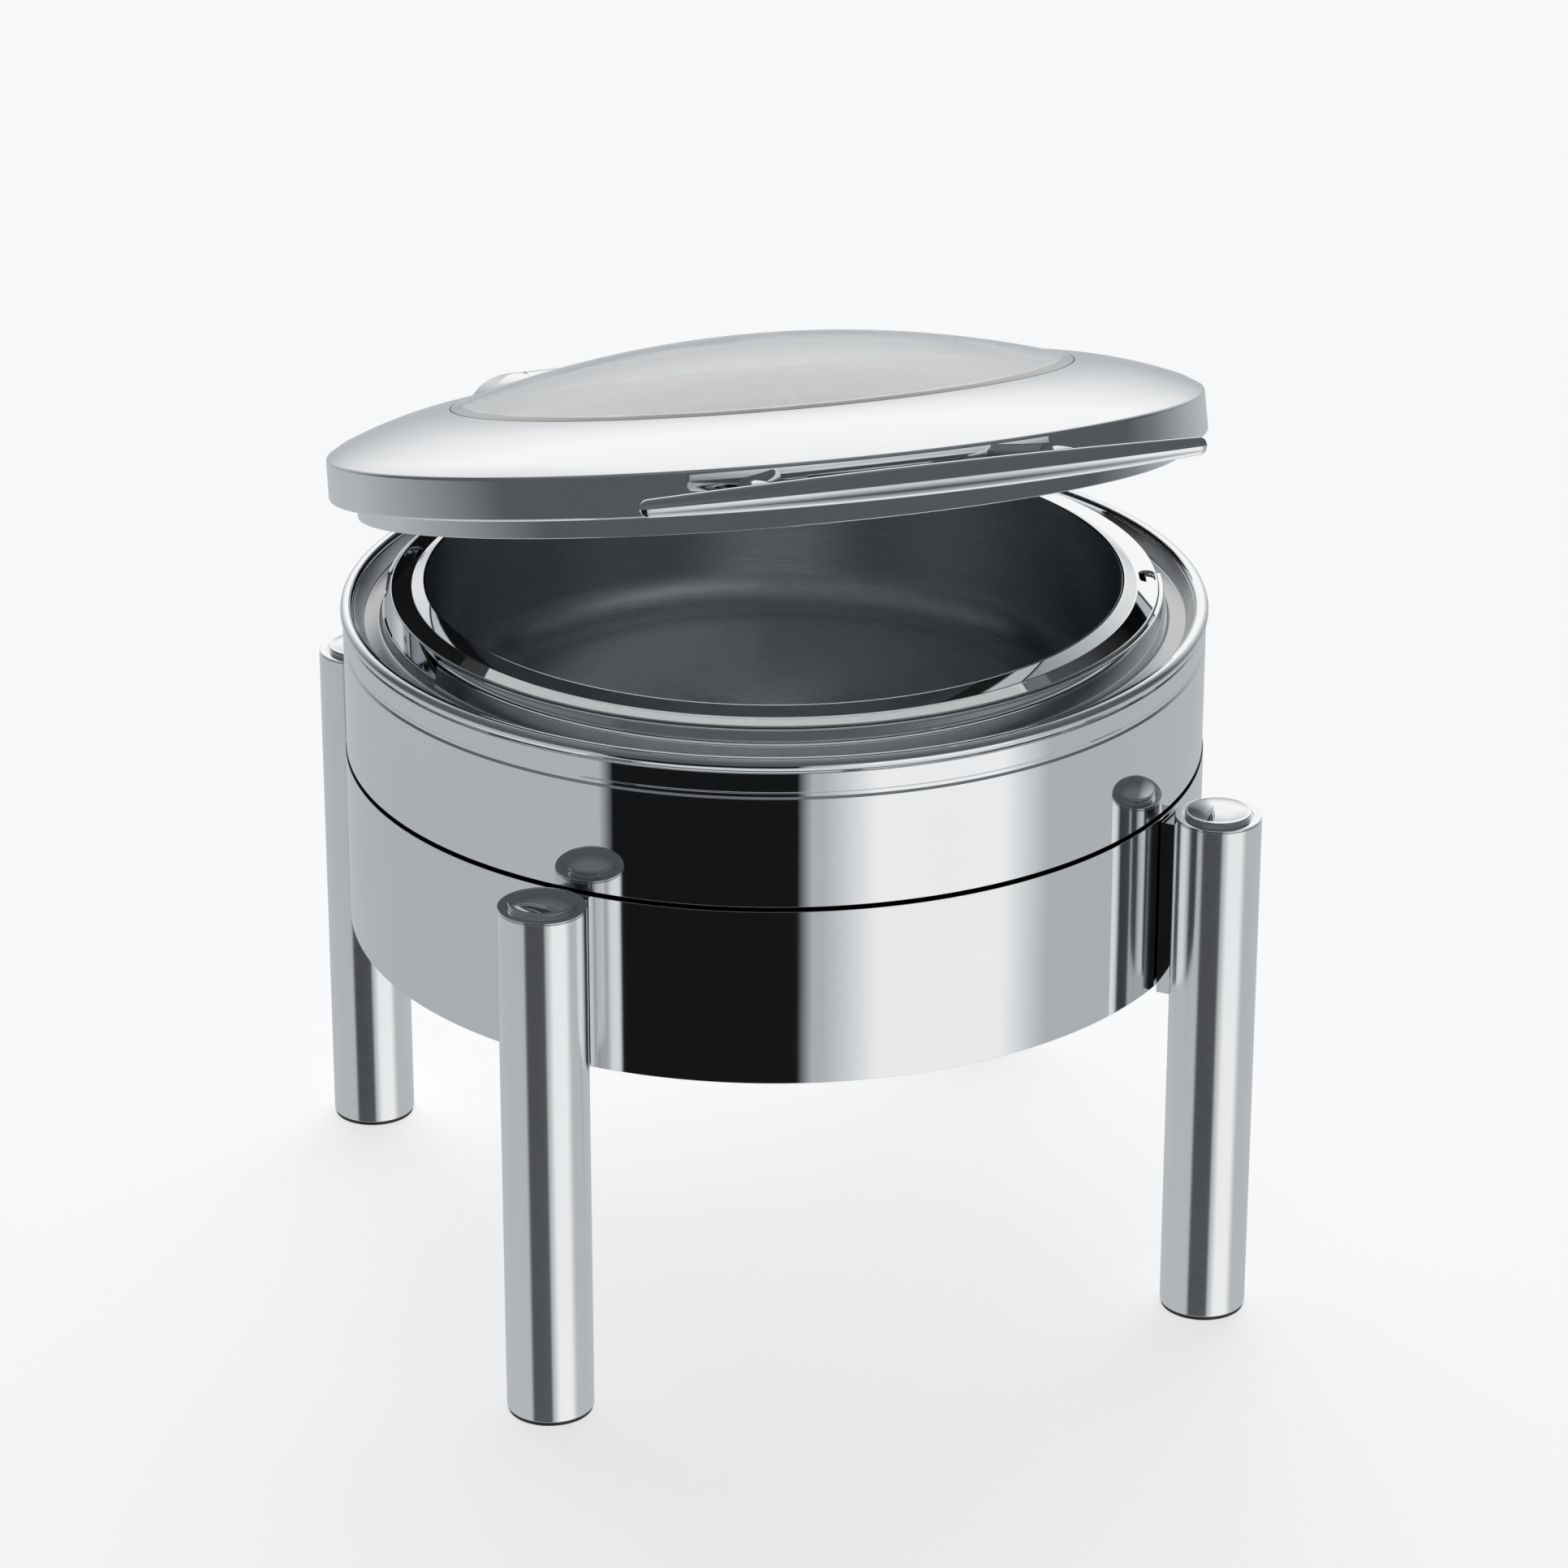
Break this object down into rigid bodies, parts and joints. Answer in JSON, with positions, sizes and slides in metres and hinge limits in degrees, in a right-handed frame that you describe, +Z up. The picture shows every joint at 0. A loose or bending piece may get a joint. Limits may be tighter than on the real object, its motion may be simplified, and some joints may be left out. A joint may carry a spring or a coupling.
{
  "type": "chafing dish",
  "caption": "Round polished chafing dish with a hinged windowed lid and bowed handle, a food pan in a water pan, and a tubular-legged stand with a fuel burner.",
  "frame": {"origin": "on the floor, on the axis of the round body", "axes": "+Z up; the handle is at -Y and the hinge at +Y; the hinge pin lies along X"},
  "size_m": [0.4336, 0.4877, 0.4867],
  "materials": {
    "polished_steel": "mirror-polished stainless steel",
    "satin_steel": "satin stainless steel with a fine grain",
    "pan_steel": "spun stainless steel, circular satin grain inside",
    "window_glass": "clear domed tempered glass",
    "silicone": "dark silicone",
    "black_plastic": "black moulded plastic",
    "bronze": "sintered bronze bush"
  },
  "bodies": {
    "stand": {"stand_ring": "polished_steel", "leg_front_left": "satin_steel", "leg_front_right": "satin_steel", "leg_back_left": "satin_steel", "leg_back_right": "satin_steel", "leg_caps": "polished_steel", "foot_plugs": "black_plastic", "leg_brackets": "polished_steel", "bracket_screws": "satin_steel", "burner_frame": "satin_steel", "burner_frame_screws": "satin_steel", "burner_cup": "satin_steel", "damper_pin": "satin_steel"},
    "damper": {"burner_damper": "satin_steel"},
    "chafer": {"casing": "polished_steel", "water_pan": "polished_steel", "hinge_base": "satin_steel", "hinge_base_screws": "satin_steel", "hinge_pin": "satin_steel"},
    "food_pan": {"food_pan": "pan_steel"},
    "lid": {"lid_shell": "polished_steel", "lid_skirt": "polished_steel", "lid_glass": "window_glass", "glass_gasket": "silicone", "glass_retainer": "satin_steel", "handle_bar": "polished_steel", "handle_posts": "polished_steel", "handle_screws": "satin_steel", "hinge_arms": "polished_steel", "hinge_bushes": "bronze", "hinge_cover": "polished_steel", "hinge_arm_screws": "satin_steel"}
  },
  "joints": [
    {"name": "chafer_lift", "type": "slide", "parent": "stand", "child": "chafer", "axis": [0, 0, 1], "range_m": [0, 0.15]},
    {"name": "food_pan_lift", "type": "slide", "parent": "chafer", "child": "food_pan", "axis": [0, 0, 1], "range_m": [0, 0.018]},
    {"name": "lid_hinge", "type": "hinge", "parent": "chafer", "child": "lid", "pos_m": [0, 0.2412, 0.3375], "axis": [-1, 0, 0], "range_deg": [-14.75, 75.25]},
    {"name": "damper_pivot", "type": "hinge", "parent": "stand", "child": "damper", "pos_m": [0, 0.052, 0.1723], "axis": [0, 0, 1], "range_deg": [0, 90]}
  ]
}
